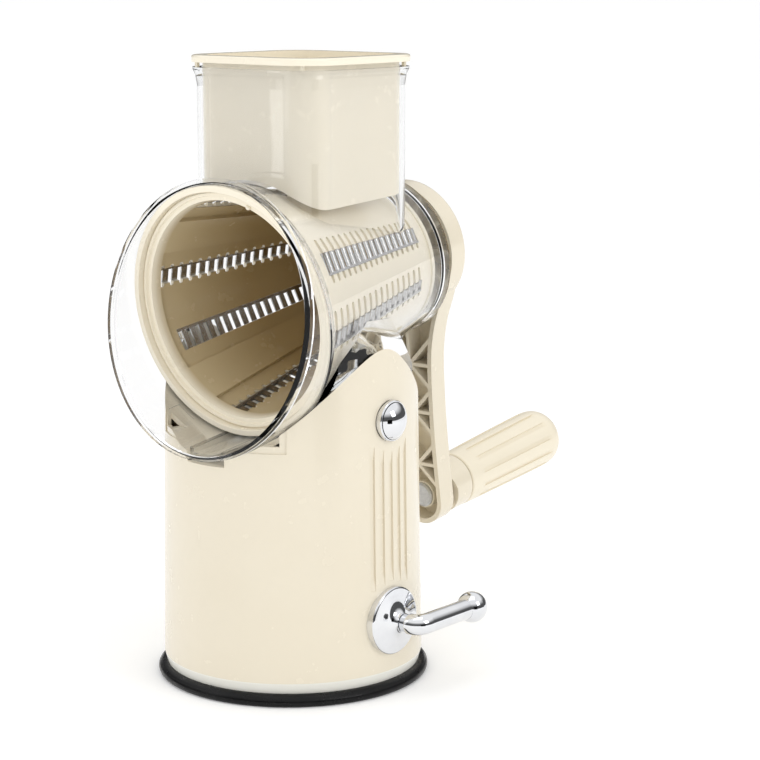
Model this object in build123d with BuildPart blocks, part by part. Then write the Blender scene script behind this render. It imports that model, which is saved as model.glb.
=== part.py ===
from build123d import *
import os
from math import sin, cos, tan, radians, sqrt

os.makedirs("parts", exist_ok=True)

# Rotary drum slicer on a suction foot. Millimetres, +Z up.
# Origin: centre of the underside of the foot. The mouth of the drum looks
# towards -Y, the crank is at +Y, the button and the suction lever are at +X.

# ---------------------------------------------------------------- dimensions
# foot and body
FOOT_R = 67.1            # widest radius of the rubber foot
SKIRT_Z = 5.9            # underside of the pale skirt ring
SKIRT_R = 62.6
SEAM_Z = 11.0            # joint between skirt ring and body
SEAM_R = 64.0
BODY_TOP_Z = 176.0       # height of the blank that the saddle is cut from
BODY_TOP_R = 61.5
BODY_WALL = 2.6
POST_R = 53.5            # pitch radius of the four screw posts
# drum head
TILT = 7.85              # drum axis falls towards the mouth, degrees
HEAD_Z = 190.4           # height of the drum axis above the foot's centre
BARREL_R0 = 52.97        # outer radius of the clear barrel at the foot's axis
BARREL_K = -0.1941       # change of that radius per mm rearwards
BARREL_WALL = 1.8
BARREL_REAR = 72.0
DRUM_GAP = 3.4           # barrel's outer radius less the drum's outer radius
PLATE_T = 2.6            # thickness of a slicing plate
PLATE_MID = 7.75         # angle of the first plate's middle
PLATE_ARC = 72.0
MOUTH_Y, MOUTH_Z = -60.3, 182.5
MOUTH_LEAN = 8.0         # the mouth's rim leans back at its top
MOUTH_RX, MOUTH_RZ = 64.6, 66.2
MOUTH_BORE = 61.4
# hopper and pusher
HOP_X, HOP_Y = 80.0, 80.5
HOP_CY = 8.75
HOP_R = 16.0
HOP_WALL = 2.2
HOP_TOP = 297.4
RIM_TOP = 303.2
# crank
ARM_S0, ARM_S1 = 85.0, 97.0
HUB_R = 33.8
THROW = 135.0            # crank axis to handle axis
ARM_T = 2.6              # walls and ribs of the crank arm
ARM_END_R = 15.7
GRIP_S0, GRIP_S1 = 112.7, 198.2
# side fittings
SHAFT_Z = 35.6           # suction lever's axis
SHAFT_R = 3.5
CAM_R, CAM_E = 8.5, 1.0
LEVER_X = 80.2
LEVER_L = 41.6
BTN_Z = 133.3            # release button's axis
BTN_TRAVEL = 4.5
RUN = 0.05               # radial clearance of shafts in their bores

# ---------------------------------------------------------------- frames
T = radians(TILT)
A = Vector(0, cos(T), sin(T))        # along the drum axis, rearwards
U = Vector(0, -sin(T), cos(T))       # square to it, upwards
X = Vector(1, 0, 0)
HEAD = Vector(0, 0, HEAD_Z)
AXLE = HEAD - U * THROW
DRUM_AXIS = Axis(HEAD, A)
DRUM_AXIS_F = Axis(HEAD, A * -1)
AXLE_AXIS = Axis(AXLE, A)
RADIAL = Plane(origin=HEAD, x_dir=A, z_dir=X)           # x = station s, y = radius
CROSS = Plane(origin=HEAD, x_dir=X, z_dir=A * -1)       # x = X, y = U, normal to the mouth
AXLE_RADIAL = Plane(origin=AXLE, x_dir=A, z_dir=X)
AXLE_CROSS = Plane(origin=AXLE, x_dir=X, z_dir=A * -1)
LEVER_AXIS = Axis((0, 0, SHAFT_Z), (1, 0, 0))
BTN_AXIS = Axis((0, 0, BTN_Z), (1, 0, 0))
LEVER_PROFILE = Plane(origin=(0, 0, SHAFT_Z), x_dir=(1, 0, 0), z_dir=(0, -1, 0))
BTN_PROFILE = Plane(origin=(0, 0, BTN_Z), x_dir=(1, 0, 0), z_dir=(0, -1, 0))


def station(s):
    return CROSS.offset(-s)


def axle_station(s):
    return AXLE_CROSS.offset(-s)


def radial_at(phi, origin=HEAD):
    # plane through the axis at angle phi from +X towards U; x = station, y = radius
    p = radians(phi)
    return Plane(origin=origin, x_dir=A, z_dir=X * sin(p) - U * cos(p))


def barrel_r(s):
    return BARREL_R0 + BARREL_K * s


def drum_r(s):
    return barrel_r(s) - DRUM_GAP


def body_r(z):
    return SEAM_R + (BODY_TOP_R - SEAM_R) * (z - SEAM_Z) / (BODY_TOP_Z - SEAM_Z)


SADDLE = [(-100, 68.5), (-72, 65.0), (-56, 63.9), (-40, 63.8), (-20, 64.5), (0, 66.2),
          (13.5, 69.5), (26, 73.1), (46, 80.0), (82, 93.0)]

# ================================================================ foot
with BuildPart() as suction_foot:
    with BuildSketch(Plane.XZ):
        with BuildLine():
            Line((52.2, 0), (65.3, 0))
            ThreePointArc((65.3, 0), (FOOT_R, 2.1), (66.2, 4.3))
            ThreePointArc((66.2, 4.3), (64.9, 5.5), (63.2, SKIRT_Z))
            Polyline((63.2, SKIRT_Z), (60.2, SKIRT_Z), (60.2, 7.8), (58.2, 7.8),
                     (58.2, SKIRT_Z), (55.0, SKIRT_Z), (52.2, 3.0), (52.2, 0))
        make_face()
    revolve(axis=Axis.Z)
suction_foot.part.label = "suction_foot"
export_step(suction_foot.part, "parts/suction_foot.step")

with BuildPart() as suction_membrane:
    with BuildSketch(Plane.XY):
        Circle(52.1)
    extrude(amount=1.6)
    with BuildSketch(Plane.XY.offset(1.6)):
        Circle(9.0)
    extrude(amount=0.5)
suction_membrane.part.label = "suction_membrane"
export_step(suction_membrane.part, "parts/suction_membrane.step")

with BuildPart() as base_plate:
    with BuildSketch(Plane.XZ):
        with BuildLine():
            Polyline((3.0 + RUN, 8.6), (57.6, 8.6), (57.6, SKIRT_Z), (58.1, SKIRT_Z), (58.1, 8.0),
                     (60.3, 8.0), (60.3, SKIRT_Z), (SKIRT_R, SKIRT_Z), (SEAM_R - 0.15, SEAM_Z - 0.6),
                     (SEAM_R - 0.15, SEAM_Z), (7.0, SEAM_Z), (7.0, 22.0), (3.0 + RUN, 22.0), close=True)
        make_face()
    revolve(axis=Axis.Z)
    with BuildSketch(Plane.XY.offset(5.0)):
        with PolarLocations(POST_R, 4, start_angle=45):
            Circle(1.9)
        with GridLocations(34, 30, 2, 2):
            Circle(1.35)
    extrude(amount=8, mode=Mode.SUBTRACT)
base_plate.part.label = "base_plate"
export_step(base_plate.part, "parts/base_plate.step")

with BuildPart() as base_screws:
    with BuildSketch(Plane.XY.offset(6.5)):
        with PolarLocations(POST_R, 4, start_angle=45):
            Circle(3.4)
    extrude(amount=2.1)
    with BuildSketch(Plane.XY.offset(8.6)):
        with PolarLocations(POST_R, 4, start_angle=45):
            Circle(1.6)
    extrude(amount=15)
    with BuildSketch(Plane.XY.offset(6.5)):
        with PolarLocations(POST_R, 4, start_angle=45):
            Rectangle(4.2, 0.9)
            Rectangle(0.9, 4.2)
    extrude(amount=1.0, mode=Mode.SUBTRACT)
base_screws.part.label = "base_screws"
export_step(base_screws.part, "parts/base_screws.step")

# ================================================================ body
# outer blank, used again to shape the backs of the chrome fittings
with BuildPart() as body_blank:
    with BuildSketch(Plane.XZ):
        with BuildLine():
            Polyline((0, SEAM_Z), (SEAM_R, SEAM_Z), (BODY_TOP_R, BODY_TOP_Z), (0, BODY_TOP_Z), close=True)
        make_face()
    revolve(axis=Axis.Z)

# everything above the saddle, as a body of revolution about the drum axis
with BuildPart() as saddle_cut:
    with BuildSketch(RADIAL):
        with BuildLine():
            Spline(*SADDLE)
            Polyline(SADDLE[-1], (SADDLE[-1][0], 0), (SADDLE[0][0], 0), SADDLE[0])
        make_face()
    revolve(axis=DRUM_AXIS)

with BuildPart() as saddle_cut_in:
    with BuildSketch(RADIAL):
        with BuildLine():
            Spline(*[(s, r + BODY_WALL) for s, r in SADDLE])
            Polyline((SADDLE[-1][0], SADDLE[-1][1] + BODY_WALL), (SADDLE[-1][0], 0), (SADDLE[0][0], 0),
                     (SADDLE[0][0], SADDLE[0][1] + BODY_WALL))
        make_face()
    revolve(axis=DRUM_AXIS)

RAIL_W, RAIL_U, RAIL_S1 = 11.5, -67.6, 7.0

# hollow inside of the body, with the rail channel's walls left standing in it
with BuildPart() as body_cavity:
    with BuildSketch(Plane.XZ):
        with BuildLine():
            Polyline((0, SEAM_Z), (SEAM_R - BODY_WALL, SEAM_Z), (BODY_TOP_R - BODY_WALL, BODY_TOP_Z),
                     (0, BODY_TOP_Z), close=True)
        make_face()
    revolve(axis=Axis.Z)
    add(saddle_cut_in.part, mode=Mode.SUBTRACT)
    with BuildSketch(station(-110)):
        with Locations((0, RAIL_U / 2 - 1.3)):
            Rectangle(2 * (RAIL_W + 3.0), -RAIL_U + 2.6)
    extrude(amount=-(110 + RAIL_S1 + 3.0), mode=Mode.SUBTRACT)
    # posts for the base screws, tied to the wall
    with BuildSketch(Plane.XY.offset(SEAM_Z)):
        with PolarLocations(POST_R, 4, start_angle=45):
            Circle(5.0)
            with Locations((6.0, 0)):
                Rectangle(12.0, 3.0)
    extrude(amount=22, mode=Mode.SUBTRACT)

FLUTE_ANGLES = (-11.2, -5.6, 0.0, 5.6, 11.2)
FLUTE_TOPS = (121.8, 119.6, 118.2, 119.8, 122.6)
FLUTE_FEET = (52.0, 53.6, 55.0, 53.6, 52.4)

with BuildPart() as body_shell:
    add(body_blank.part)
    add(saddle_cut.part, mode=Mode.SUBTRACT)
    add(body_cavity.part, mode=Mode.SUBTRACT)
    # channel that takes the rail under the barrel, open at the front
    with BuildSketch(station(-110)):
        with Locations((0, RAIL_U / 2)):
            Rectangle(2 * (RAIL_W + 0.4), -RAIL_U)
    extrude(amount=-(110 + RAIL_S1 + 0.6), mode=Mode.SUBTRACT)
    # window in the front below the barrel, with a shallow frame round it
    with BuildSketch(Plane.XY.offset(121.7)):
        with Locations((0, -60)):
            Rectangle(78.8, 60)
        Circle(body_r(128) - 0.5, mode=Mode.SUBTRACT)
    extrude(amount=50, mode=Mode.SUBTRACT)
    with BuildSketch(Plane.XY.offset(125.0)):
        with Locations((0, -60)):
            Rectangle(73.0, 26.6)
    extrude(amount=30, mode=Mode.SUBTRACT)
    # screw holes in the posts
    with BuildSketch(Plane.XY.offset(SEAM_Z)):
        with PolarLocations(POST_R, 4, start_angle=45):
            Circle(1.65)
    extrude(amount=16, mode=Mode.SUBTRACT)
    # seats of the lever's flange and of the button's bezel
    with BuildSketch(Plane.YZ.offset(50)):
        with Locations((0, SHAFT_Z)):
            Circle(8.0)
        with Locations((0, BTN_Z)):
            Circle(9.85)
    extrude(amount=20, mode=Mode.SUBTRACT)
    # passage of the latch pin through the saddle
    with BuildSketch(Plane.YZ.offset(RAIL_W)):
        with Locations((0, BTN_Z)):
            Circle(3.4)
    extrude(amount=36, mode=Mode.SUBTRACT)
    # five flutes under the button: round-bottomed troughs that run out at both ends
    for ang, top, foot in zip(FLUTE_ANGLES, FLUTE_TOPS, FLUTE_FEET):
        a = radians(ang)
        mid = (top + foot) / 2
        rm = body_r(mid)
        lean = (body_r(top) - body_r(foot)) / (top - foot)
        out = Vector(cos(a), sin(a), 0)
        fl = Plane(origin=(rm * cos(a), rm * sin(a), mid), x_dir=out, z_dir=(-sin(a), cos(a), 0))
        h = (top - foot) / 2
        dn = 1 if fl.y_dir.Z > 0 else -1
        with BuildSketch(Plane(origin=(rm * cos(a), rm * sin(a), mid), x_dir=out,
                               z_dir=(-sin(a), cos(a), 0))) as groove:
            with BuildLine():
                Polyline((1.5 + lean * h, h * dn), (-0.15 + lean * h, h * dn), (-0.95 + lean * (h - 7), (h - 7) * dn),
                         (-0.95 - lean * (h - 7), -(h - 7) * dn), (-0.15 - lean * h, -h * dn),
                         (1.5 - lean * h, -h * dn), close=True)
            make_face()
        extrude(amount=1.55, both=True, mode=Mode.SUBTRACT)
body_shell.part.label = "body_shell"
export_step(body_shell.part, "parts/body_shell.step")

# ================================================================ suction gear
with BuildPart() as pull_rod:
    with BuildSketch(Plane.XY.offset(2.1)):
        Circle(8.5)
    extrude(amount=1.6)
    with BuildSketch(Plane.XY.offset(3.7)):
        Circle(3.0)
    extrude(amount=19)
    # stirrup round the cam
    with BuildSketch(Plane.YZ.offset(-3.2)):
        with Locations((0, 35.0)):
            Rectangle(26.4, 25.2)
        with Locations((0, 34.725)):
            Rectangle(21.4, 18.25, mode=Mode.SUBTRACT)
    extrude(amount=6.4)
pull_rod.part.label = "pull_rod"
export_step(pull_rod.part, "parts/pull_rod.step")

with BuildPart() as cam_bracket:
    with BuildSketch(Plane.XY.offset(SEAM_Z)):
        Rectangle(42, 40)
        Circle(7.4, mode=Mode.SUBTRACT)
        with GridLocations(34, 30, 2, 2):
            Circle(1.6, mode=Mode.SUBTRACT)
    extrude(amount=2)
    with BuildSketch(Plane.YZ.offset(12.0)):
        with Locations((0, 24.5)):
            Rectangle(18, 23)
        with Locations((0, SHAFT_Z)):
            Circle(9.0)
            Circle(SHAFT_R + RUN, mode=Mode.SUBTRACT)
    extrude(amount=2.5)
    with BuildSketch(Plane.YZ.offset(-14.5)):
        with Locations((0, 24.5)):
            Rectangle(18, 23)
        with Locations((0, SHAFT_Z)):
            Circle(9.0)
            Circle(SHAFT_R + RUN, mode=Mode.SUBTRACT)
    extrude(amount=2.5)
cam_bracket.part.label = "cam_bracket"
export_step(cam_bracket.part, "parts/cam_bracket.step")

with BuildPart() as bracket_screws:
    with BuildSketch(Plane.XY.offset(13.0)):
        with GridLocations(34, 30, 2, 2):
            Circle(2.7)
    extrude(amount=1.8)
    with BuildSketch(Plane.XY.offset(9.0)):
        with GridLocations(34, 30, 2, 2):
            Circle(1.3)
    extrude(amount=4.0)
bracket_screws.part.label = "bracket_screws"
export_step(bracket_screws.part, "parts/bracket_screws.step")

with BuildPart() as lever_cam:
    with BuildSketch(Plane.YZ.offset(-3.0)):
        with Locations((0, SHAFT_Z - CAM_E)):
            Circle(CAM_R)
        with Locations((0, SHAFT_Z)):
            Circle(SHAFT_R + 0.02, mode=Mode.SUBTRACT)
    extrude(amount=6.0)
lever_cam.part.label = "lever_cam"
export_step(lever_cam.part, "parts/lever_cam.step")

# chrome lever: shaft, collar, elbow, arm and ball end in one piece
with BuildPart() as suction_lever:
    with BuildSketch(LEVER_PROFILE):
        with BuildLine():
            Polyline((-18.0, 0), (-18.0, 3.1), (-17.4, SHAFT_R), (-16.5, SHAFT_R), (-16.5, 2.8), (-15.5, 2.8),
                     (-15.5, SHAFT_R), (71.1, SHAFT_R), (71.1, 4.1), (71.4, 4.4), (74.2, 4.4), (74.4, 5.0),
                     (74.4, 0), close=True)
        make_face()
    revolve(axis=LEVER_AXIS)
    with BuildLine() as lever_path:
        FilletPolyline((74.4, 0, SHAFT_Z), (LEVER_X, 0, SHAFT_Z), (LEVER_X, LEVER_L, SHAFT_Z), radius=5.6)
    with BuildSketch(Plane(origin=(74.4, 0, SHAFT_Z), x_dir=(0, 1, 0), z_dir=(1, 0, 0))):
        Circle(5.0)
    sweep(path=lever_path.wires()[0])
    with Locations((LEVER_X, LEVER_L, SHAFT_Z)):
        Sphere(7.7)
suction_lever.part.label = "suction_lever"
export_step(suction_lever.part, "parts/suction_lever.step")

with BuildPart() as lever_clip:
    with BuildSketch(Plane.YZ.offset(-16.4)):
        with Locations((0, SHAFT_Z)):
            Circle(6.0)
            Circle(2.9, mode=Mode.SUBTRACT)
        with Locations((0, SHAFT_Z - 5)):
            Rectangle(4.4, 8, mode=Mode.SUBTRACT)
    extrude(amount=0.8)
lever_clip.part.label = "lever_clip"
export_step(lever_clip.part, "parts/lever_clip.step")

# bell-shaped chrome flange that carries the lever's shaft
with BuildPart() as lever_flange:
    with BuildSketch(LEVER_PROFILE):
        with BuildLine():
            Line((57.0, SHAFT_R + RUN), (57.0, 16.6))
            Line((57.0, 16.6), (64.9, 16.6))
            ThreePointArc((64.9, 16.6), (65.7, 16.2), (66.0, 15.4))
            Spline((66.0, 15.4), (66.5, 12.4), (67.2, 9.0), (68.3, 6.2), (69.6, 4.9), (70.8, 4.6),
                   tangents=((0.1, -1), (1, -0.1)))
            Line((70.8, 4.6), (70.8, SHAFT_R + RUN))
            Line((70.8, SHAFT_R + RUN), (57.0, SHAFT_R + RUN))
        make_face()
    revolve(axis=LEVER_AXIS)
    add(body_blank.part, mode=Mode.SUBTRACT)
    with BuildSketch(Plane.YZ.offset(57.5)):
        with Locations((0, SHAFT_Z)):
            Circle(7.9)
            Circle(SHAFT_R + RUN, mode=Mode.SUBTRACT)
    extrude(amount=8)
lever_flange.part.label = "lever_flange"
export_step(lever_flange.part, "parts/lever_flange.step")

# ================================================================ release button
with BuildPart() as button_bezel:
    with BuildSketch(BTN_PROFILE):
        with BuildLine():
            Polyline((49.0, 3.0 + RUN), (49.0, 8.4), (55.4, 8.4), (55.4, 9.85), (60.8, 9.85), (60.8, 9.5), (62.7, 9.5),
                     (62.7, 9.85), (64.3, 9.85), (64.8, 9.5), (64.8, 9.15),
                     (57.4, 9.15), (57.4, 7.2), (51.0, 7.2), (51.0, 3.0 + RUN), close=True)
        make_face()
    revolve(axis=BTN_AXIS)
button_bezel.part.label = "button_bezel"
export_step(button_bezel.part, "parts/button_bezel.step")

with BuildPart() as release_button:
    with BuildSketch(BTN_PROFILE):
        with BuildLine():
            Polyline((65.2, 8.85), (62.2, 8.85), (62.2, 6.9), (56.0, 6.9), (56.0, 5.7), (64.0, 5.7), (64.0, 3.02),
                     (68.0, 3.02), (68.0, 0), (69.4, 0))
            ThreePointArc((69.4, 0), (68.0, 5.6), (65.2, 8.85))
        make_face()
    revolve(axis=BTN_AXIS)
release_button.part.label = "release_button"
export_step(release_button.part, "parts/release_button.step")

with BuildPart() as latch_pin:
    with BuildSketch(BTN_PROFILE):
        with BuildLine():
            Polyline((7.6, 0), (7.6, 2.3), (8.2, 2.9), (12.2, 2.9), (12.2, 1.5), (21.5, 1.5), (21.5, 3.0), (67.9, 3.0),
                     (67.9, 0), close=True)
        make_face()
    revolve(axis=BTN_AXIS)
latch_pin.part.label = "latch_pin"
export_step(latch_pin.part, "parts/latch_pin.step")

with BuildPart() as button_spring:
    with BuildLine() as coil:
        Helix(pitch=2.4, height=12.0, radius=4.4, center=(51.5, 0, BTN_Z), direction=(1, 0, 0))
    with BuildSketch(Plane(origin=coil.edges()[0] @ 0, z_dir=coil.edges()[0] % 0)):
        Circle(0.42)
    sweep(path=coil.wires()[0])
button_spring.part.label = "button_spring"
export_step(button_spring.part, "parts/button_spring.step")

# ================================================================ clear housing
# inside of the barrel and of the hopper
with BuildPart() as housing_bore:
    with BuildSketch(RADIAL):
        with BuildLine():
            Polyline((-110, 0), (-110, MOUTH_BORE), (-43.8, MOUTH_BORE), (-38.8, barrel_r(-38.8) - BARREL_WALL),
                     (BARREL_REAR - 2.0, barrel_r(BARREL_REAR - 2.0) - BARREL_WALL), (BARREL_REAR - 2.0, 0), close=True)
        make_face()
    revolve(axis=DRUM_AXIS)
    with BuildSketch(Plane.XY.offset(HEAD_Z)):
        with Locations((0, HOP_CY)):
            RectangleRounded(HOP_X - 2 * HOP_WALL, HOP_Y - 2 * HOP_WALL, HOP_R - HOP_WALL)
    extrude(amount=120)

# band under the barrel that follows the saddle's front half
with BuildPart() as pedestal:
    with BuildSketch(Plane.XY.offset(116)):
        Circle(60.7)
        Circle(49.0, mode=Mode.SUBTRACT)
        with Locations((0, 66)):
            Rectangle(140, 80, mode=Mode.SUBTRACT)
        with Locations((0, -60)):
            Rectangle(76, 40, mode=Mode.SUBTRACT)
    extrude(amount=66)
    with BuildSketch(RADIAL):
        with BuildLine():
            Spline(*[(s, r - 0.5) for s, r in SADDLE])
            Line((SADDLE[-1][0], SADDLE[-1][1] - 0.5), (SADDLE[-1][0], SADDLE[-1][1] - 5.2))
            Spline(*[(s, r - 5.2) for s, r in SADDLE[::-1]])
            Line((SADDLE[0][0], SADDLE[0][1] - 5.2), (SADDLE[0][0], SADDLE[0][1] - 0.5))
        make_face()
    revolve(axis=DRUM_AXIS, mode=Mode.INTERSECT)

L = radians(MOUTH_LEAN)
MOUTH = Plane(origin=(0, MOUTH_Y, MOUTH_Z), x_dir=(1, 0, 0), z_dir=(0, -cos(L), sin(L)))

with BuildPart() as drum_housing:
    with BuildSketch(RADIAL):
        with BuildLine():
            Polyline((BARREL_REAR, 0), (BARREL_REAR, barrel_r(BARREL_REAR)), (-38.6, barrel_r(-38.6)), (-43.6, MOUTH_BORE + 1.7),
                     (-92, MOUTH_BORE + 1.9), (-92, 0), close=True)
        make_face()
    revolve(axis=DRUM_AXIS)
    split(bisect_by=MOUTH, keep=Keep.BOTTOM)
    # flared rim of the mouth
    with BuildSketch(MOUTH):
        Ellipse(MOUTH_RX, MOUTH_RZ)
    extrude(amount=-3.0)
    # hopper and its flared lip
    with BuildSketch(Plane.XY.offset(HEAD_Z)):
        with Locations((0, HOP_CY)):
            RectangleRounded(HOP_X, HOP_Y, HOP_R)
    extrude(amount=HOP_TOP - HEAD_Z)
    with BuildSketch(Plane.XY.offset(288.6)):
        with Locations((0, HOP_CY)):
            RectangleRounded(HOP_X, HOP_Y, HOP_R)
    with BuildSketch(Plane.XY.offset(293.6)):
        with Locations((0, HOP_CY)):
            RectangleRounded(HOP_X + 1.6, HOP_Y + 1.6, HOP_R + 0.8)
    loft()
    with BuildSketch(Plane.XY.offset(293.6)):
        with Locations((0, HOP_CY)):
            RectangleRounded(HOP_X + 1.6, HOP_Y + 1.6, HOP_R + 0.8)
    with BuildSketch(Plane.XY.offset(296.2)):
        with Locations((0, HOP_CY)):
            RectangleRounded(HOP_X + 4.2, HOP_Y + 4.2, HOP_R + 2.1)
    loft()
    with BuildSketch(Plane.XY.offset(296.2)):
        with Locations((0, HOP_CY)):
            RectangleRounded(HOP_X + 4.2, HOP_Y + 4.2, HOP_R + 2.1)
    extrude(amount=HOP_TOP - 296.2)
    # bead round the rear wall
    with BuildSketch(RADIAL):
        with BuildLine():
            Polyline((68.6, 37.0), (68.6, barrel_r(68.6) + 0.3), (70.2, 40.8), (74.6, 40.8), (75.4, 40.0), (75.4, 38.0),
                     (72.0, 38.0), (72.0, 37.0), close=True)
        make_face()
    revolve(axis=DRUM_AXIS)
    add(pedestal.part)
    # shallow keel from the rail to the rear bead
    with BuildSketch(RADIAL):
        with BuildLine():
            Polyline((0, -barrel_r(0) - 4.0), (63, -barrel_r(63) - 4.0), (69, -barrel_r(69) - 0.6), (69, -20), (0, -20), close=True)
        make_face()
    extrude(amount=RAIL_W, both=True)
    # rail under the barrel, hollow and open at both ends
    with BuildSketch(station(-69)):
        with Locations((0, (RAIL_U - 46) / 2)):
            Rectangle(2 * RAIL_W, -46 - RAIL_U)
    extrude(amount=-(69 + RAIL_S1))
    with BuildSketch(station(-70)):
        with Locations((0, (RAIL_U - 40) / 2 + 2.5)):
            Rectangle(2 * RAIL_W - 5.0, -40 - RAIL_U)
    extrude(amount=-(70 + RAIL_S1 + 1), mode=Mode.SUBTRACT)
    with BuildSketch(RADIAL):
        with BuildLine():
            Polyline((RAIL_S1 + 3, 0), (RAIL_S1 + 3, barrel_r(RAIL_S1 + 3)), (-38.6, barrel_r(-38.6)), (-43.6, MOUTH_BORE + 1.7),
                     (-72, MOUTH_BORE + 1.8), (-72, 0), close=True)
        make_face()
    revolve(axis=DRUM_AXIS)
    split(bisect_by=MOUTH, keep=Keep.BOTTOM)
    add(housing_bore.part, mode=Mode.SUBTRACT)
    # hole of the rear bearing
    with BuildSketch(station(80)):
        Circle(9.0)
    extrude(amount=15, mode=Mode.SUBTRACT)
    # latch hole in the rail's side, and the slot that lets the pin's neck pass
    with BuildSketch(Plane.YZ.offset(2.6)):
        with Locations((0, BTN_Z)):
            Circle(3.2)
    extrude(amount=12, mode=Mode.SUBTRACT)
    with BuildSketch(Plane(origin=(RAIL_W - 3.0, 0, BTN_Z), x_dir=A, z_dir=X)):
        with Locations((9, 0)):
            Rectangle(18, 3.6)
    extrude(amount=6, mode=Mode.SUBTRACT)
drum_housing.part.label = "drum_housing"
export_step(drum_housing.part, "parts/drum_housing.step")

with BuildPart() as rear_bearing:
    with BuildSketch(RADIAL):
        with BuildLine():
            Polyline((68.4, 7.0 + RUN), (68.4, 12.0), (70.0, 12.0), (70.0, 8.98), (76.4, 8.98), (76.4, 7.0 + RUN), close=True)
        make_face()
    revolve(axis=DRUM_AXIS)
rear_bearing.part.label = "rear_bearing"
export_step(rear_bearing.part, "parts/rear_bearing.step")

# ================================================================ drum
HEX_AF = 11.0
HEX_R = HEX_AF / sqrt(3)

PLATE_S0, PLATE_S1 = -38.2, 56.0

with BuildPart() as drum_cage:
    # front ring with a step round the mouth, ledge, shell, rear band with a shallow groove, rear wall and hub
    with BuildSketch(RADIAL):
        with BuildLine():
            Polyline((-41.8, 53.3), (-41.8, 55.4), (-43.2, 55.7), (-43.2, 57.0), (-42.0, 57.0), (-42.0, 57.7), (-46.0, 57.9),
                     (-46.2, 58.2), (-46.2, 60.5), (-45.8, 60.9), (-44.2, 60.9), (-39.6, barrel_r(-39.6) - 2.4),
                     (-38.6, drum_r(-38.6)), (58.2, drum_r(58.2)), (58.6, drum_r(58.6) - 0.9), (62.6, drum_r(62.6) - 0.9),
                     (63.0, drum_r(63)), (65.6, drum_r(65.6)), (66.4, drum_r(66.4) - 0.8), (66.4, 0), (50.0, 0), (50.0, 10.0),
                     (51.0, 11.0), (63.6, 11.0), (63.6, drum_r(63.6) - 4.6), (-39.4, drum_r(-39.4) - 4.6), close=True)
        make_face()
    revolve(axis=DRUM_AXIS)
    # four seats for the plates, and the windows inside them
    for k in range(4):
        mid = PLATE_MID + 90 * k
        with BuildSketch(radial_at(mid + PLATE_ARC / 2)):
            with BuildLine():
                Polyline((PLATE_S0, drum_r(PLATE_S0) - PLATE_T), (PLATE_S0, drum_r(PLATE_S0) + 4),
                         (PLATE_S1, drum_r(PLATE_S1) + 4), (PLATE_S1, drum_r(PLATE_S1) - PLATE_T), close=True)
            make_face()
        revolve(axis=DRUM_AXIS, revolution_arc=PLATE_ARC, mode=Mode.SUBTRACT)
        with BuildSketch(radial_at(mid + PLATE_ARC / 2 - 2.5)):
            with BuildLine():
                Polyline((PLATE_S0 + 1.6, drum_r(PLATE_S0) - 9), (PLATE_S0 + 1.6, drum_r(PLATE_S0) - 1),
                         (PLATE_S1 - 1.6, drum_r(PLATE_S1) - 1), (PLATE_S1 - 1.6, drum_r(PLATE_S1) - 9), close=True)
            make_face()
        revolve(axis=DRUM_AXIS, revolution_arc=PLATE_ARC - 5, mode=Mode.SUBTRACT)
    with BuildSketch(station(49)):
        RegularPolygon(HEX_R + 0.02, 6)
    extrude(amount=-20, mode=Mode.SUBTRACT)
    # small nub on the ring's inner edge
    with Locations(HEAD - A * 42.2 + X * (54.2 * cos(radians(71))) + U * (54.2 * sin(radians(71)))):
        Sphere(1.35)
drum_cage.part.label = "drum_cage"
export_step(drum_cage.part, "parts/drum_cage.step")

# rows of slots: angles of groove top, blade top, blade foot, groove foot from the
# plate's middle, first and last station, number of slots
ROWS = ((30.5, 23.2, 11.8, 8.2, -28.6, 52.4, 17),
        (-4.5, -14.2, -22.6, -25.2, -33.4, 49.0, 16))
SLOT_W = 2.2
GEN = (A + U * BARREL_K).normalized()


def rad_dir(phi):
    p = radians(phi)
    return X * cos(p) + U * sin(p)


def tan_dir(phi):
    p = radians(phi)
    return U * cos(p) - X * sin(p)


def skin_plane(phi, tilt=0.0, lift=0.0):
    # plane through the drum's outer generator at angle phi; y runs towards larger angles
    n = rad_dir(phi) - A * BARREL_K
    n = n.normalized()
    g = (A + rad_dir(phi) * BARREL_K).normalized()
    t = tan_dir(phi)
    b = radians(tilt)
    origin = HEAD + rad_dir(phi) * drum_r(0) + n * lift
    return Plane(origin=origin, x_dir=g, z_dir=n * cos(b) - t * sin(b))


def half_span(s, deg):
    return drum_r(s) * tan(radians(deg))


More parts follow.
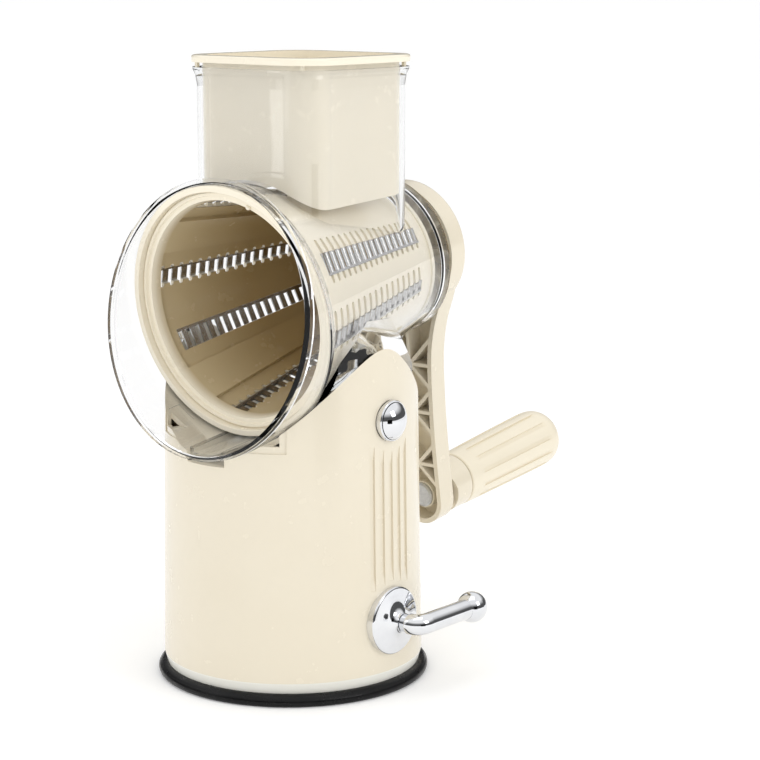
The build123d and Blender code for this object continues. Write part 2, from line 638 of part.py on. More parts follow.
combs = []
with BuildPart() as slicing_plate_1:
    with BuildSketch(radial_at(PLATE_MID + PLATE_ARC / 2)):
        with BuildLine():
            Polyline((PLATE_S0, drum_r(PLATE_S0)), (PLATE_S1, drum_r(PLATE_S1)), (PLATE_S1, drum_r(PLATE_S1) - PLATE_T),
                     (PLATE_S0, drum_r(PLATE_S0) - PLATE_T), close=True)
        make_face()
    revolve(axis=DRUM_AXIS, revolution_arc=PLATE_ARC)
    for g1, b1, b0, g0, s0, s1, n in ROWS:
        gm = PLATE_MID + (g1 + g0) / 2
        pitch = (s1 - s0) / (n - 1)
        with BuildSketch(skin_plane(gm).offset(-2.0)):
            for i in range(n):
                s = s0 + pitch * i
                with Locations((s / GEN.dot(A), 0)):
                    SlotOverall(2 * half_span(s, (g1 - g0) / 2), SLOT_W, rotation=90)
        extrude(amount=5, mode=Mode.SUBTRACT)
        bm = PLATE_MID + (b1 + b0) / 2
        half = (b1 - b0) / 2
        if n == ROWS[1][6]:
            # round ends of the slots break through just above the second row's teeth
            with BuildSketch(skin_plane(bm).offset(-6)):
                for i in range(n):
                    s = s0 + pitch * i
                    with Locations((s / GEN.dot(A), 0)):
                        SlotOverall(2 * half_span(s, half) + 3.2, SLOT_W, rotation=90)
            extrude(amount=9, mode=Mode.SUBTRACT)
        with BuildSketch(skin_plane(bm).offset(-6)):
            with BuildLine():
                a0, a1 = s0 - 2.2, s1 + 2.2
                h0, h1 = half_span(a0, half), half_span(a1, half)
                c = GEN.dot(A)
                Polyline((a0 / c, -h0), (a1 / c, -h1), (a1 / c, h1), (a0 / c, h0), close=True)
            make_face()
        extrude(amount=9, mode=Mode.SUBTRACT)
slicing_plate_1.part.label = "slicing_plate_1"
export_step(slicing_plate_1.part, "parts/slicing_plate_1.step")

# flat steel combs: the teeth stand proud of the plate at their cutting edge
with BuildPart() as blade_comb_1:
    for g1, b1, b0, g0, s0, s1, n in ROWS:
        bm = PLATE_MID + (b1 + b0) / 2
        half = (b1 - b0) / 2
        pitch = (s1 - s0) / (n - 1)
        c = GEN.dot(A)
        a0, a1 = s0 - 2.2, s1 + 2.2
        h0, h1 = half_span(a0, half), half_span(a1, half)
        blade = skin_plane(bm, tilt=5.0, lift=-1.1)
        with BuildSketch(blade):
            with BuildLine():
                Polyline((a0 / c, -h0 + 0.05), (a1 / c, -h1 + 0.05), (a1 / c, h1 - 0.15), (a0 / c, h0 - 0.15), close=True)
            make_face()
            for i in range(n):
                s = s0 + pitch * i
                with Locations((s / c, 1.0)):
                    Rectangle(SLOT_W + 0.1, 2 * half_span(s, half) - 1.0, mode=Mode.SUBTRACT)
        extrude(amount=0.9)
        # crowned teeth between the slots
        for i in range(n - 1):
            s = s0 + pitch * (i + 0.5)
            w = (pitch - SLOT_W) / 2 - 0.15
            tooth = Plane(origin=blade.from_local_coords((s / c, -half_span(s, half) + 0.7, 0)), x_dir=blade.x_dir,
                          z_dir=blade.y_dir)
            with BuildSketch(tooth):
                with BuildLine():
                    Polyline((w, -0.9), (w, -0.4), (-w, -0.4), (-w, -0.9))
                    ThreePointArc((-w, -0.9), (0, -1.45), (w, -0.9))
                make_face()
            extrude(amount=2 * half_span(s, half) - 1.0)
        # stiffening lip along the foot of the teeth, turned inwards
        with BuildSketch(skin_plane(bm)):
            with BuildLine():
                Polyline((a0 / c, -h0 + 0.05), (a1 / c, -h1 + 0.05), (a1 / c, -h1 + 1.1), (a0 / c, -h0 + 1.1), close=True)
            make_face()
        extrude(amount=-2.2)
blade_comb_1.part.label = "blade_comb_1"
export_step(blade_comb_1.part, "parts/blade_comb_1.step")

plate_copies = [slicing_plate_1.part.rotate(DRUM_AXIS, 90 * k) for k in (1, 2, 3)]
comb_copies = [blade_comb_1.part.rotate(DRUM_AXIS, 90 * k) for k in (1, 2, 3)]

with BuildPart() as slicing_plate_2:
    add(plate_copies[0])
slicing_plate_2.part.label = "slicing_plate_2"
export_step(slicing_plate_2.part, "parts/slicing_plate_2.step")

with BuildPart() as slicing_plate_3:
    add(plate_copies[1])
slicing_plate_3.part.label = "slicing_plate_3"
export_step(slicing_plate_3.part, "parts/slicing_plate_3.step")

with BuildPart() as slicing_plate_4:
    add(plate_copies[2])
slicing_plate_4.part.label = "slicing_plate_4"
export_step(slicing_plate_4.part, "parts/slicing_plate_4.step")

with BuildPart() as blade_comb_2:
    add(comb_copies[0])
blade_comb_2.part.label = "blade_comb_2"
export_step(blade_comb_2.part, "parts/blade_comb_2.step")

with BuildPart() as blade_comb_3:
    add(comb_copies[1])
blade_comb_3.part.label = "blade_comb_3"
export_step(blade_comb_3.part, "parts/blade_comb_3.step")

with BuildPart() as blade_comb_4:
    add(comb_copies[2])
blade_comb_4.part.label = "blade_comb_4"
export_step(blade_comb_4.part, "parts/blade_comb_4.step")

# ================================================================ crank
with BuildPart() as drive_spindle:
    with BuildSketch(station(50.4)):
        RegularPolygon(HEX_R, 6)
    extrude(amount=-16.6)
    with BuildSketch(RADIAL):
        with BuildLine():
            Polyline((66.6, 0), (66.6, 6.4), (67.2, 7.0), (80.0, 7.0), (80.0, 0), close=True)
        make_face()
    revolve(axis=DRUM_AXIS)
    with BuildSketch(station(80.0)):
        RegularPolygon(HEX_R, 6)
    extrude(amount=-12.0)
    with BuildSketch(station(92.0)):
        Circle(2.55)
    extrude(amount=14, mode=Mode.SUBTRACT)
drive_spindle.part.label = "drive_spindle"
export_step(drive_spindle.part, "parts/drive_spindle.step")

ARM_EDGE = ((25.7, -21.9), (22.5, -30.1), (19.7, -36.8), (17.6, -43.5), (15.4, -53.5), (14.0, -66.7), (13.3, -80.0),
            (12.9, -92.0), (12.75, -104.0), (12.8, -114.0), (13.0, -124.0), (13.2, -136.4))
ARM_END = (0, -THROW - ARM_END_R)

# outline of the arm below the hub, as a blank
with BuildPart() as arm_blank:
    with BuildSketch(station(ARM_S1)):
        with BuildLine():
            Line((0, -21.9), ARM_EDGE[0])
            Spline(*ARM_EDGE)
            ThreePointArc(ARM_EDGE[-1], (9.6, -THROW - 11.5), ARM_END)
            Line(ARM_END, (0, -21.9))
        make_face()
        mirror(about=Plane.YZ)
    extrude(amount=ARM_S1 - ARM_S0)

with BuildPart() as arm_pocket:
    with BuildSketch(station(ARM_S1 - ARM_T)):
        with BuildLine():
            inner = [(x - ARM_T, u) for x, u in ARM_EDGE]
            Line((0, -21.9), inner[0])
            Spline(*inner)
            ThreePointArc(inner[-1], (7.7, -THROW - 9.7), (0, -THROW - ARM_END_R + ARM_T))
            Line((0, -THROW - ARM_END_R + ARM_T), (0, -21.9))
        make_face()
        mirror(about=Plane.YZ)
        Circle(HUB_R - ARM_T)
        Circle(11.0, mode=Mode.SUBTRACT)
        # ribs
        with Locations((0, -47.0)):
            Rectangle(1.8, 28, mode=Mode.SUBTRACT)
        for u in (-62.0, -88.0, -117.0):
            with Locations((0, u)):
                Rectangle(40, 1.8, mode=Mode.SUBTRACT)
                Rectangle(1.8, 42, rotation=45, mode=Mode.SUBTRACT)
                Rectangle(1.8, 42, rotation=-45, mode=Mode.SUBTRACT)
        for k in range(6):
            with Locations((0, 0)):
                Rectangle(70, 1.8, rotation=30 * k, mode=Mode.SUBTRACT)
        with Locations((0, -THROW)):
            Circle(7.4, mode=Mode.SUBTRACT)
    extrude(amount=ARM_S1 - ARM_S0)

with BuildPart() as crank_arm:
    add(arm_blank.part)
    with BuildSketch(station(ARM_S1)):
        Circle(HUB_R)
    extrude(amount=ARM_S1 - ARM_S0)
    add(arm_pocket.part, mode=Mode.SUBTRACT)
    with BuildSketch(station(ARM_S1)):
        Circle(11.0)
    extrude(amount=ARM_S1 - 80.0)
    # round the rear edge of the arm
    rear = crank_arm.faces().sort_by(Axis(HEAD, A))[-1]
    fillet(rear.edges(), radius=1.6)
    # hexagonal socket, screw hole and counterbore
    with BuildSketch(station(79.0)):
        RegularPolygon(HEX_R + 0.02, 6)
    extrude(amount=-13.02, mode=Mode.SUBTRACT)
    with BuildSketch(station(98.0)):
        Circle(5.6)
    extrude(amount=3.4, mode=Mode.SUBTRACT)
    with BuildSketch(station(98.0)):
        Circle(2.7)
    extrude(amount=8.0, mode=Mode.SUBTRACT)
    # bore of the handle's axle
    with BuildSketch(axle_station(98.0)):
        Circle(4.02)
    extrude(amount=14.0, mode=Mode.SUBTRACT)
    with BuildSketch(axle_station(87.0)):
        Circle(9.0)
    extrude(amount=3.0, mode=Mode.SUBTRACT)
crank_arm.part.label = "crank_arm"
export_step(crank_arm.part, "parts/crank_arm.step")

with BuildPart() as crank_screw:
    with BuildSketch(RADIAL):
        with BuildLine():
            Polyline((80.0, 0), (80.0, 2.5), (94.6, 2.5), (94.6, 5.3), (96.4, 5.3), (97.2, 4.4), (97.2, 0), close=True)
        make_face()
    revolve(axis=DRUM_AXIS)
    with BuildSketch(station(98.0)):
        RegularPolygon(2.3, 6)
    extrude(amount=2.4, mode=Mode.SUBTRACT)
crank_screw.part.label = "crank_screw"
export_step(crank_screw.part, "parts/crank_screw.step")

with BuildPart() as handle_axle:
    with BuildSketch(AXLE_RADIAL):
        with BuildLine():
            Polyline((85.2, 0), (85.2, 5.6), (85.9, 6.6), (87.0, 6.6), (87.0, 4.0), (180.0, 4.0), (180.0, 3.2), (181.1, 3.2),
                     (181.1, 4.0), (184.4, 4.0), (185.0, 3.4), (185.0, 0), close=True)
        make_face()
    revolve(axis=AXLE_AXIS)
handle_axle.part.label = "handle_axle"
export_step(handle_axle.part, "parts/handle_axle.step")

with BuildPart() as handle_collar:
    with BuildSketch(AXLE_RADIAL):
        with BuildLine():
            Polyline((ARM_S1, 4.02), (ARM_S1, 14.2), (GRIP_S0 - 0.9, 14.2), (GRIP_S0 - 0.3, 13.6), (GRIP_S0 - 0.3, 4.02), close=True)
        make_face()
    revolve(axis=AXLE_AXIS)
    # gap towards the arm on the lower side, with a snap tab left standing in it
    with BuildSketch(Plane(origin=AXLE + A * 97.0, x_dir=A, z_dir=X)):
        with BuildLine():
            Polyline((-1.0, 7.0), (0.3, 7.0), (2.2, 1.0), (3.0, -15.5), (-1.0, -15.5), close=True)
        make_face()
    extrude(amount=20, both=True, mode=Mode.SUBTRACT)
    with BuildSketch(axle_station(ARM_S1)):
        with Locations((8.5, -8.5), (-8.5, -8.5)):
            Rectangle(2.6, 2.6)
    extrude(amount=-4.0)
handle_collar.part.label = "handle_collar"
export_step(handle_collar.part, "parts/handle_collar.step")

with BuildPart() as axle_clip:
    with BuildSketch(axle_station(180.95)):
        Circle(5.2)
        Circle(3.25, mode=Mode.SUBTRACT)
        with Locations((0, -5)):
            Rectangle(4.2, 8, mode=Mode.SUBTRACT)
    extrude(amount=0.8)
axle_clip.part.label = "axle_clip"
export_step(axle_clip.part, "parts/axle_clip.step")

with BuildPart() as handle_grip:
    with BuildSketch(AXLE_RADIAL):
        with BuildLine():
            Line((GRIP_S0, 4.0 + RUN), (GRIP_S0, 14.0))
            Line((GRIP_S0, 14.0), (GRIP_S0 + 0.5, 14.5))
            Spline((GRIP_S0 + 0.5, 14.5), (140.0, 15.2), (165.0, 15.7), (184.0, 15.9), (191.5, 14.9), (196.3, 11.0),
                   (GRIP_S1, 0), tangents=((1, 0.03), (0, -1)))
            Polyline((GRIP_S1, 0), (185.6, 0), (185.6, 4.0 + RUN), (181.5, 4.0 + RUN), (181.5, 5.5), (179.6, 5.5),
                     (179.6, 4.0 + RUN), (GRIP_S0, 4.0 + RUN))
        make_face()
    revolve(axis=AXLE_AXIS)
    # twelve tapering flutes
    for k in range(12):
        with BuildSketch(radial_at(30 * k + 15, origin=AXLE)):
            with BuildLine():
                Polyline((121.0, 14.9), (125.0, 14.1), (182.0, 15.1), (189.0, 16.6), (189.0, 20), (121.0, 20), close=True)
            make_face()
        extrude(amount=1.15, both=True, mode=Mode.SUBTRACT)
handle_grip.part.label = "handle_grip"
export_step(handle_grip.part, "parts/handle_grip.step")

# ================================================================ pusher
# inside of the cup: straight walls, and a floor that follows the arch
with BuildPart() as pusher_room:
    with BuildSketch(Plane.XY.offset(222)):
        with Locations((0, HOP_CY)):
            RectangleRounded(HOP_X - 2 * HOP_WALL - 5.6, HOP_Y - 2 * HOP_WALL - 5.6, HOP_R - HOP_WALL - 2.8)
    extrude(amount=90)
    with BuildSketch(Plane(origin=(0, -120, 188.6 - 120 * 0.062), x_dir=(1, 0, 0), z_dir=(0, 1, 0.062))):
        Circle(60.7)
    extrude(amount=260, mode=Mode.SUBTRACT)

with BuildPart() as food_pusher:
    with BuildSketch(Plane.XY.offset(222)):
        with Locations((0, HOP_CY)):
            RectangleRounded(HOP_X - 2 * HOP_WALL - 1.2, HOP_Y - 2 * HOP_WALL - 1.2, HOP_R - HOP_WALL - 0.6)
    extrude(amount=RIM_TOP - 222 - 1.0)
    with BuildSketch(Plane.XY.offset(299.8)):
        with Locations((0, HOP_CY)):
            RectangleRounded(85.0, 85.5, 18.4)
    extrude(amount=RIM_TOP - 299.8)
    # pegs that stand on the hopper's lip
    with BuildSketch(Plane.XY.offset(HOP_TOP)):
        with Locations((33.4, -28.4), (-33.4, -28.4), (33.4, 45.9), (-33.4, 45.9)):
            Rectangle(1.6, 1.6)
    extrude(amount=3.0)
    # arched underside that follows the drum
    with BuildSketch(Plane(origin=(0, -120, 188.6 - 120 * 0.062), x_dir=(1, 0, 0), z_dir=(0, 1, 0.062))):
        Circle(58.5)
    extrude(amount=260, mode=Mode.SUBTRACT)
    add(pusher_room.part, mode=Mode.SUBTRACT)
    # soften the rim
    rim = food_pusher.faces().sort_by(Axis.Z)[-1]
    fillet(rim.outer_wire().edges(), radius=1.2)
food_pusher.part.label = "food_pusher"
export_step(food_pusher.part, "parts/food_pusher.step")
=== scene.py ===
import math

import bpy
from mathutils import Matrix, Vector


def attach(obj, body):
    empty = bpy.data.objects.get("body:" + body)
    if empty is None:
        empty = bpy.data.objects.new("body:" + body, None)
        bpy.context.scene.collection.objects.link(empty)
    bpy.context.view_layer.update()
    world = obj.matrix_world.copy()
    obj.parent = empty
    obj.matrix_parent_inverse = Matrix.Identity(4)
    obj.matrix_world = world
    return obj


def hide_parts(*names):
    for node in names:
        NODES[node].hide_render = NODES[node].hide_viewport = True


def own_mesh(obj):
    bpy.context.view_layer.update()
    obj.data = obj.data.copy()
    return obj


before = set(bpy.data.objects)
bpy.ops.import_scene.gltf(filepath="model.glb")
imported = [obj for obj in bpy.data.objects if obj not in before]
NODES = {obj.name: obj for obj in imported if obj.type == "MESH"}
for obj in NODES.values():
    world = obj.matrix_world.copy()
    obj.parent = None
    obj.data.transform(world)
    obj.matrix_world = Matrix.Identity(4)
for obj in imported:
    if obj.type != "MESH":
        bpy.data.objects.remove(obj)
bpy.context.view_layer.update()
scene = bpy.context.scene
scene.view_settings.view_transform = "Standard"


# ---------------------------------------------------------------- camera
YAW, PITCH, F_PX = math.radians(39.337), math.radians(10.59), 2236.168
forward = Vector((-math.sin(YAW) * math.cos(PITCH), math.cos(YAW) * math.cos(PITCH), -math.sin(PITCH)))
right = Vector((math.cos(YAW), math.sin(YAW), 0))
up = right.cross(forward)
camera_data = bpy.data.cameras.new("camera")
camera_data.sensor_width = 36
camera_data.lens = 36 * F_PX / 760
camera_data.clip_start, camera_data.clip_end = 0.05, 200
camera = bpy.data.objects.new("camera", camera_data)
scene.collection.objects.link(camera)
camera.matrix_world = Matrix((
    (right.x, up.x, -forward.x, 0.7158),
    (right.y, up.y, -forward.y, -0.8050),
    (right.z, up.z, -forward.z, 0.3466),
    (0, 0, 0, 1)))
scene.camera = camera


# ---------------------------------------------------------------- materials
class Paint:
    """A Principled material whose pattern is in the object's own coordinates, in metres."""

    def __init__(self, name, **constants):
        self.material = bpy.data.materials.new(name)
        self.material.use_nodes = True
        self.tree = self.material.node_tree
        self.tree.nodes.clear()
        self.out = self.tree.nodes.new("ShaderNodeOutputMaterial")
        self.shader = self.tree.nodes.new("ShaderNodeBsdfPrincipled")
        self.link(self.shader.outputs[0], self.out.inputs["Surface"])
        self.place = self.tree.nodes.new("ShaderNodeTexCoord").outputs["Object"]
        for socket, value in constants.items():
            self.shader.inputs[socket.replace("_", " ")].default_value = value

    def link(self, a, b):
        self.tree.links.new(a, b)

    def stretched(self, scale, turn=(0, 0, 0)):
        n = self.tree.nodes.new("ShaderNodeMapping")
        n.inputs["Scale"].default_value = scale
        n.inputs["Rotation"].default_value = turn
        self.link(self.place, n.inputs["Vector"])
        return n.outputs[0]

    def noise(self, scale, detail=2.0, rough=0.5, place=None):
        n = self.tree.nodes.new("ShaderNodeTexNoise")
        n.inputs["Scale"].default_value = scale
        n.inputs["Detail"].default_value = detail
        n.inputs["Roughness"].default_value = rough
        self.link(place or self.place, n.inputs["Vector"])
        return n.outputs["Fac"]

    def spots(self, scale, place=None):
        n = self.tree.nodes.new("ShaderNodeTexVoronoi")
        n.inputs["Scale"].default_value = scale
        self.link(place or self.place, n.inputs["Vector"])
        return n.outputs["Distance"]

    def range(self, value, a, b, c, d):
        n = self.tree.nodes.new("ShaderNodeMapRange")
        for i, x in enumerate((a, b, c, d)):
            n.inputs[i + 1].default_value = x
        self.link(value, n.inputs[0])
        return n.outputs[0]

    def math(self, what, a, b):
        n = self.tree.nodes.new("ShaderNodeMath")
        n.operation = what
        for i, x in enumerate((a, b)):
            if isinstance(x, (int, float)):
                n.inputs[i].default_value = x
            else:
                self.link(x, n.inputs[i])
        return n.outputs[0]

    def blend(self, factor, a, b):
        n = self.tree.nodes.new("ShaderNodeMix")
        n.data_type = "RGBA"
        self.link(factor, n.inputs[0])
        for i, x in ((6, a), (7, b)):
            if isinstance(x, tuple):
                n.inputs[i].default_value = (*x, 1)
            else:
                self.link(x, n.inputs[i])
        return n.outputs[2]

    def height(self):
        n = self.tree.nodes.new("ShaderNodeSeparateXYZ")
        self.link(self.place, n.inputs[0])
        return n.outputs

    def colour(self, socket):
        self.link(socket, self.shader.inputs["Base Color"])

    def roughness(self, socket):
        self.link(socket, self.shader.inputs["Roughness"])

    def bump(self, *layers):
        """Each layer is (height, depth in metres); they are added on top of each other."""
        normal = None
        for value, depth in layers:
            n = self.tree.nodes.new("ShaderNodeBump")
            n.inputs["Strength"].default_value = 1.0
            n.inputs["Distance"].default_value = depth
            self.link(value, n.inputs["Height"])
            if normal is not None:
                self.link(normal, n.inputs["Normal"])
            normal = n.outputs[0]
        self.link(normal, self.shader.inputs["Normal"])


TILT = math.radians(7.85)
AXIS, HEAD = (0, math.cos(TILT), math.sin(TILT)), (0, 0, 0.1904)


def drum_inside_shade(p):
    """Painted shade mask: 1 on the inner surfaces of the drum, 0 elsewhere, from the distance to the drum's axis;
    and the station.
    """
    def vector(what, a, b):
        n = p.tree.nodes.new("ShaderNodeVectorMath")
        n.operation = what
        for i, x in enumerate((a, b)):
            if isinstance(x, tuple):
                n.inputs[i].default_value = x
            else:
                p.link(x, n.inputs[i])
        return n.outputs["Value"] if what == "DOT_PRODUCT" else n.outputs[0]

    rel = vector("SUBTRACT", p.place, HEAD)
    along = vector("DOT_PRODUCT", rel, AXIS)
    square = vector("DOT_PRODUCT", rel, rel)
    radius = p.math("POWER", p.math("SUBTRACT", square, p.math("MULTIPLY", along, along)), 0.5)
    skin = p.math("SUBTRACT", 0.04957, p.math("MULTIPLY", along, 0.1941))
    depth = p.math("SUBTRACT", skin, radius)
    return p.math("MULTIPLY", p.range(depth, 0.0021, 0.0025, 0, 1), p.range(along, -0.041, -0.036, 0, 1)), along


def plastic(name, light, deep, low=0.2, high=0.3, coat=0.35, wave=0.000006, inner=None):
    p = Paint(name, IOR=1.5, Coat_Weight=coat, Coat_Roughness=0.06)
    cloud = p.noise(14, 3, 0.55)
    speck = p.noise(260, 3, 0.5)
    tone = p.blend(p.range(cloud, 0.35, 0.65, 0, 1), light, deep)
    speckled = p.blend(p.range(speck, 0.3, 0.7, 0, 0.16), tone, tuple(0.94 * c for c in light))
    # Painted shade: darkens the drum's inner surfaces, with a lighter tone near the mouth and a darker one deeper
    # in.
    if inner:
        shade_mask, along = drum_inside_shade(p)
        speckled = p.blend(shade_mask, speckled, p.blend(p.range(along, -0.038, 0.015, 0, 1), *inner))
    p.colour(speckled)
    rub = p.noise(95, 4, 0.6)
    p.roughness(p.range(rub, 0.2, 0.8, low, high))
    p.bump((p.noise(26, 2, 0.4), wave), (p.noise(420, 2, 0.5), 0.0000015))
    return p.material


def moulded(name, light, deep, **more):
    return plastic(name, light, deep, **more)


cream = plastic("cream_plastic", (0.80, 0.730, 0.588), (0.785, 0.712, 0.566))
# Painted light: the pusher and the drum use brighter copies of the cream, to make up for the light that the clear
# plastic in front of them takes away.
cream_cup_brightened = plastic("cream_plastic_cup_brightened", (0.94, 0.868, 0.712), (0.925, 0.85, 0.69))
# Painted shade: on the drum's inner surfaces the colour turns olive and brown, darker deeper from the mouth.
cream_drum_brightened_shaded = plastic("cream_plastic_drum_painted_light_and_shade", (0.94, 0.868, 0.712), (0.925, 0.85, 0.69), inner=((0.60, 0.49, 0.30), (0.40, 0.285, 0.13)))
cream_soft = plastic("cream_plastic_soft", (0.86, 0.79, 0.638), (0.845, 0.77, 0.612), low=0.3, high=0.42, coat=0.15)
skirt_white = plastic("white_plastic", (0.86, 0.85, 0.79), (0.83, 0.82, 0.75), low=0.3, high=0.4, coat=0.1)
acetal = plastic("grey_acetal", (0.30, 0.30, 0.29), (0.26, 0.26, 0.25), low=0.4, high=0.5, coat=0.0)


def rubber():
    p = Paint("black_rubber", IOR=1.36, Specular_IOR_Level=0.35, Coat_Weight=0.04, Coat_Roughness=0.12)
    dust = p.noise(55, 5, 0.65)
    p.colour(p.blend(p.range(dust, 0.45, 0.75, 0, 1), (0.003, 0.003, 0.0035), (0.007, 0.007, 0.0075)))
    p.roughness(p.range(p.noise(130, 4, 0.6), 0.3, 0.7, 0.22, 0.38))
    p.bump((p.noise(1500, 3, 0.6), 0.000006))
    return p.material


def chrome():
    p = Paint("chrome", Metallic=1.0, IOR=1.5)
    film = p.noise(70, 4, 0.6)
    p.colour(p.blend(p.range(film, 0.4, 0.7, 0, 1), (0.80, 0.81, 0.83), (0.74, 0.75, 0.78)))
    p.roughness(p.range(p.noise(240, 5, 0.65), 0.35, 0.75, 0.02, 0.075))
    p.bump((p.noise(60, 2, 0.5), 0.00001))
    return p.material


def brushed(name, light, deep, scale, low, high, turn=(0, 0, 0)):
    p = Paint(name, Metallic=1.0)
    lines = p.noise(1, 4, 0.65, p.stretched(scale, turn))
    p.colour(p.blend(p.range(lines, 0.3, 0.7, 0, 1), light, deep))
    p.roughness(p.range(lines, 0.3, 0.7, low, high))
    p.bump((lines, 0.000008))
    return p.material


comb_steel = brushed("comb_steel", (0.58, 0.575, 0.57), (0.42, 0.415, 0.41), (1500, 120, 1500), 0.16, 0.28)
zinc_steel = brushed("zinc_steel", (0.58, 0.58, 0.57), (0.46, 0.46, 0.46), (700, 700, 700), 0.25, 0.42)


def clear():
    p = Paint("clear_plastic", IOR=1.42, Transmission_Weight=1.0)
    haze = p.noise(45, 4, 0.6)
    p.colour(p.blend(p.range(haze, 0.4, 0.7, 0, 1), (0.998, 0.998, 0.998), (0.99, 0.992, 0.993)))
    p.roughness(p.range(p.noise(160, 4, 0.6), 0.35, 0.75, 0.0, 0.012))
    p.bump((p.noise(22, 2, 0.4), 0.00002))
    t = p.tree
    mix = t.nodes.new("ShaderNodeMixShader")
    path = t.nodes.new("ShaderNodeLightPath")
    through = t.nodes.new("ShaderNodeBsdfTransparent")
    through.inputs[0].default_value = (0.985, 0.987, 0.99, 1)
    p.link(path.outputs["Is Shadow Ray"], mix.inputs[0])
    p.link(p.shader.outputs[0], mix.inputs[1])
    p.link(through.outputs[0], mix.inputs[2])
    p.link(mix.outputs[0], p.out.inputs["Surface"])
    soak = t.nodes.new("ShaderNodeVolumeAbsorption")
    soak.inputs["Color"].default_value = (0.62, 0.66, 0.70, 1)
    soak.inputs["Density"].default_value = 12.0
    p.link(soak.outputs[0], p.out.inputs["Volume"])
    return p.material


chrome_m, rubber_m, clear_m = chrome(), rubber(), clear()
USES = {
    "cream": ["body_shell", "crank_arm", "handle_collar"],
    "cup": ["food_pusher"],
    "drum": ["drum_cage"] + [f"slicing_plate_{k}" for k in (1, 2, 3, 4)],
    "soft": ["handle_grip"],
    "white": ["base_plate"],
    "grey": ["cam_bracket", "lever_cam", "pull_rod", "rear_bearing"],
    "rubber": ["suction_foot", "suction_membrane"],
    "chrome": ["lever_flange", "button_bezel", "release_button", "suction_lever"],
    "comb": [f"blade_comb_{k}" for k in (1, 2, 3, 4)],
    "zinc": ["base_screws", "bracket_screws", "crank_screw", "drive_spindle", "handle_axle", "axle_clip",
             "lever_clip", "latch_pin", "button_spring"],
    "clear": ["drum_housing"],
}
LOOK = {"cream": cream, "cup": cream_cup_brightened, "drum": cream_drum_brightened_shaded, "soft": cream_soft, "white": skirt_white, "grey": acetal, "rubber": rubber_m, "chrome": chrome_m,
        "comb": comb_steel, "zinc": zinc_steel, "clear": clear_m}
for look, names in USES.items():
    for name in names:
        mesh = NODES[name].data
        if not mesh.materials:
            mesh.materials.append(LOOK[look])
        for i in range(len(mesh.materials)):
            mesh.materials[i] = LOOK[look]


# ---------------------------------------------------------------- button spring
def coil(x0, length, radius, wire, turns, z, around=10, steps=24):
    """A helical wire along +X with flat ends, as one closed mesh."""
    verts, faces = [], []
    n = turns * steps
    lead = length / (2 * math.pi * turns * radius)
    for k in range(n + 1):
        t = 2 * math.pi * k / steps
        centre = Vector((x0 + length * k / n, radius * math.cos(t), z + radius * math.sin(t)))
        out = Vector((0, math.cos(t), math.sin(t)))
        along = Vector((lead, -math.sin(t), math.cos(t))).normalized()
        side = along.cross(out)
        for j in range(around):
            a = 2 * math.pi * j / around
            verts.append(centre + out * (wire * math.cos(a)) + side * (wire * math.sin(a)))
    for k in range(n):
        for j in range(around):
            b, c = k * around, (k + 1) * around
            i = (j + 1) % around
            faces.append((b + j, b + i, c + i, c + j))
    faces.append(tuple(range(around))[::-1])
    faces.append(tuple(n * around + j for j in range(around)))
    mesh = bpy.data.meshes.new("button_spring_coil")
    mesh.from_pydata([tuple(v) for v in verts], [], faces)
    mesh.update()
    for f in mesh.polygons:
        f.use_smooth = True
    o = bpy.data.objects.new("button_spring_coil", mesh)
    bpy.context.scene.collection.objects.link(o)
    mesh.materials.append(zinc_steel)
    return o


# It sits between the bezel's sleeve and the button, fixed to the base.
spring = coil(0.0515, 0.0118, 0.0044, 0.00042, 5, 0.1333)
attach(spring, "base")
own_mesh(spring)
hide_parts("button_spring")


# ---------------------------------------------------------------- floor and light
def floor_material():
    p = Paint("floor", Roughness=0.8, Specular_IOR_Level=0.1, Emission_Color=(1, 1, 1, 1), Emission_Strength=0.12)
    p.colour(p.blend(p.range(p.noise(1.5, 3, 0.5), 0.3, 0.7, 0, 1), (0.95, 0.95, 0.945), (0.94, 0.94, 0.94)))
    return p.material


bpy.ops.mesh.primitive_plane_add(size=120)
floor = bpy.context.object
floor.name = "floor"
floor.data.materials.append(floor_material())

world = bpy.data.worlds.new("studio")
scene.world = world
world.use_nodes = True
sky = world.node_tree
background = sky.nodes["Background"]
background.inputs["Color"].default_value = (1, 1, 1, 1)
# Even white light on the surfaces; what reflects is a dark room with a bright ceiling.
place = sky.nodes.new("ShaderNodeTexCoord")
parts = sky.nodes.new("ShaderNodeSeparateXYZ")
room = sky.nodes.new("ShaderNodeMapRange")
for i, x in enumerate((0.30, 0.62, 0.10, 1.0)):
    room.inputs[i + 1].default_value = x
ray = sky.nodes.new("ShaderNodeLightPath")
pick = sky.nodes.new("ShaderNodeMix")
pick.inputs[2].default_value = 0.95
sky.links.new(place.outputs["Generated"], parts.inputs[0])
sky.links.new(parts.outputs["Z"], room.inputs[0])
bent = sky.nodes.new("ShaderNodeMath")
bent.operation = "SUBTRACT"
bent.inputs[0].default_value = 1.0
sky.links.new(ray.outputs["Is Transmission Ray"], bent.inputs[1])
first = sky.nodes.new("ShaderNodeMath")
first.operation = "LESS_THAN"
first.inputs[1].default_value = 0.5
both = sky.nodes.new("ShaderNodeMath")
both.operation = "MULTIPLY"
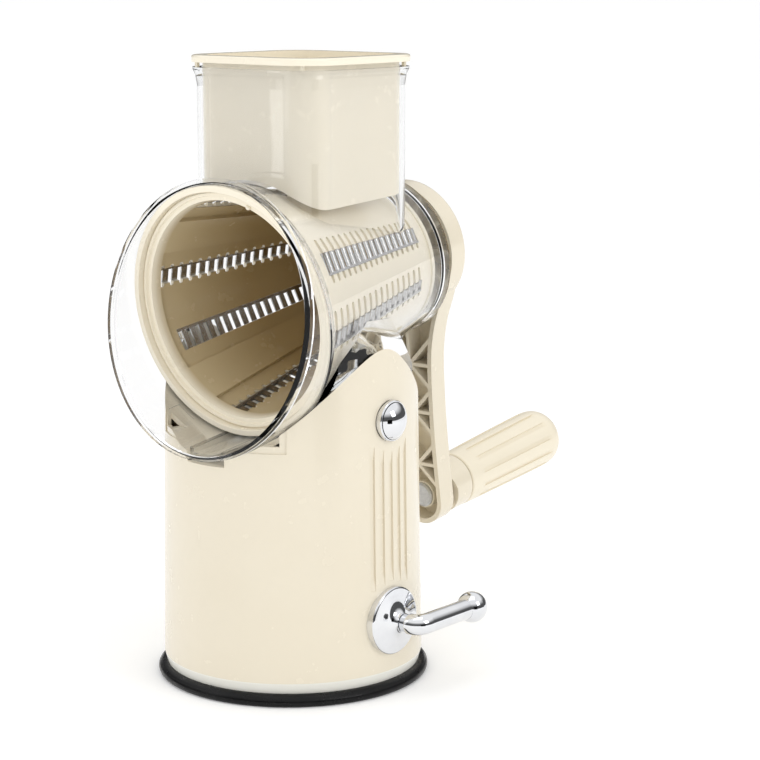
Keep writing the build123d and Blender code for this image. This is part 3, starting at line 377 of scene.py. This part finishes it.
sky.links.new(ray.outputs["Diffuse Depth"], first.inputs[0])
sky.links.new(ray.outputs["Is Glossy Ray"], both.inputs[0])
sky.links.new(first.outputs[0], both.inputs[1])
three = sky.nodes.new("ShaderNodeMath")
three.operation = "MULTIPLY"
sky.links.new(both.outputs[0], three.inputs[0])
sky.links.new(bent.outputs[0], three.inputs[1])
sky.links.new(three.outputs[0], pick.inputs[0])
sky.links.new(room.outputs[0], pick.inputs[3])
sky.links.new(pick.outputs[0], background.inputs["Strength"])


def softbox(name, place, target, width, height, power, tint=(1, 1, 1)):
    data = bpy.data.lights.new(name, "AREA")
    data.shape = "RECTANGLE"
    data.size, data.size_y = width, height
    data.energy = power
    data.color = tint
    o = bpy.data.objects.new(name, data)
    scene.collection.objects.link(o)
    o.location = place
    o.rotation_euler = (Vector(target) - Vector(place)).to_track_quat("-Z", "Y").to_euler()
    return o


softbox("key", (-0.75, -1.30, 0.75), (0, 0, 0.16), 0.5, 1.3, 1.2)
softbox("strip", (-1.018, -1.20, 0.35), (0, -0.03, 0.2), 0.035, 1.1, 0.16)
softbox("side", (1.45, 0.12, 0.95), (0, 0, 0.14), 0.6, 0.7, 3.2)
softbox("top", (0.1, -0.1, 1.5), (0, 0, 0.2), 1.0, 1.0, 1.6)


def dark_card(name, place, target, width, height, shade=0.01):
    """A dark board that only shows in reflections and through the clear plastic."""
    p = Paint(name, Roughness=1.0, Specular_IOR_Level=0.0)
    p.colour(p.blend(p.noise(6, 2, 0.5), (shade, shade, shade), (shade * 1.6, shade * 1.6, shade * 1.6)))
    bpy.ops.mesh.primitive_plane_add(size=1)
    o = bpy.context.object
    o.name = name
    o.scale = (width, height, 1)
    o.location = place
    o.rotation_euler = (Vector(target) - Vector(place)).to_track_quat("-Z", "Y").to_euler()
    o.data.materials.append(p.material)
    o.visible_camera = False
    o.visible_diffuse = False
    o.visible_shadow = False
    return o


dark_card("board_right", (0.62, -0.20, 0.10), (0.06, 0, 0.11), 0.26, 0.20, 0.004)

bpy.context.view_layer.update()
